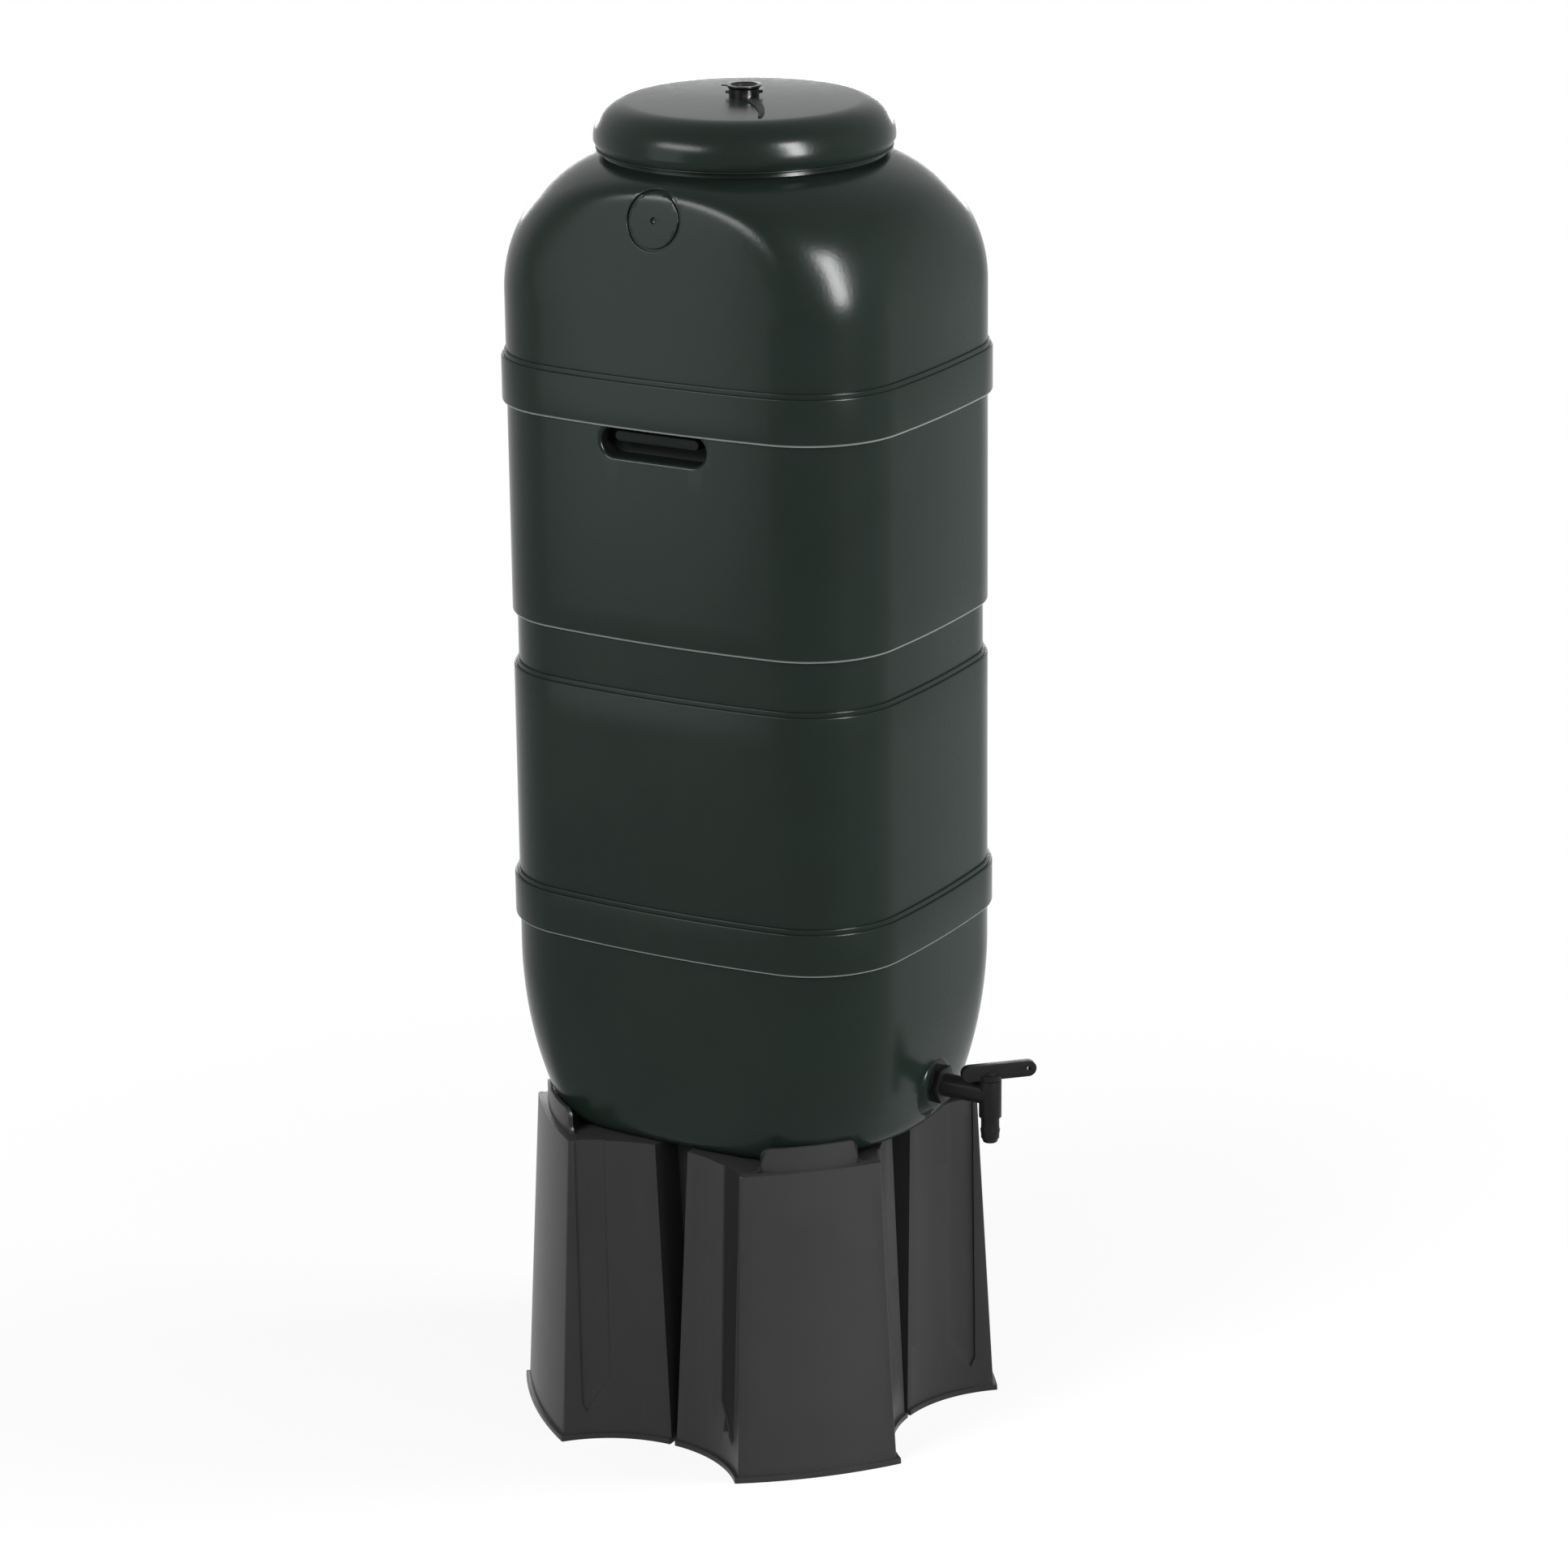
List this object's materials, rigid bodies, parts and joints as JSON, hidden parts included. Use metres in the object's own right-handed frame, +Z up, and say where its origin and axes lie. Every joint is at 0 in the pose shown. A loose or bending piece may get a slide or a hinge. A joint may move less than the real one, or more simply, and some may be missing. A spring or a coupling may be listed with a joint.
{
  "type": "water butt",
  "caption": "Slim upright rainwater butt with a lift-off round lid, a quarter-turn lever tap near its foot and a four-lobed hollow stand.",
  "frame": {"origin": "on the floor under the butt's upright axis, in the plane of the stand's foot rim", "axes": "+Z up, -Y towards the tap's side, +X to the right when facing the tap"},
  "size_m": [0.4198, 0.496, 1.2726],
  "materials": {
    "tank_plastic": "satin blow-moulded polyethylene, dark green",
    "stand_plastic": "satin moulded polypropylene, charcoal",
    "black_plastic": "semi-matt black moulding",
    "seal_rubber": "plain black rubber"
  },
  "bodies": {
    "tank": {"butt_body": "tank_plastic", "stand": "stand_plastic", "tap_body": "black_plastic", "tap_backnut": "black_plastic", "tap_washer_outer": "seal_rubber", "tap_washer_inner": "seal_rubber"},
    "lid": {"lid": "tank_plastic", "lid_collar": "black_plastic"},
    "lever": {"tap_lever": "black_plastic", "plug_o_ring_lower": "seal_rubber", "plug_o_ring_upper": "seal_rubber"}
  },
  "joints": [
    {"name": "lid_lift", "type": "slide", "parent": "tank", "child": "lid", "axis": [0, 0, 1], "range_m": [0, 0.3]},
    {"name": "tap_turn", "type": "hinge", "parent": "tank", "child": "lever", "pos_m": [0, -0.2525, 0.3535], "axis": [0, 0, 1], "range_deg": [-45, 45]}
  ]
}
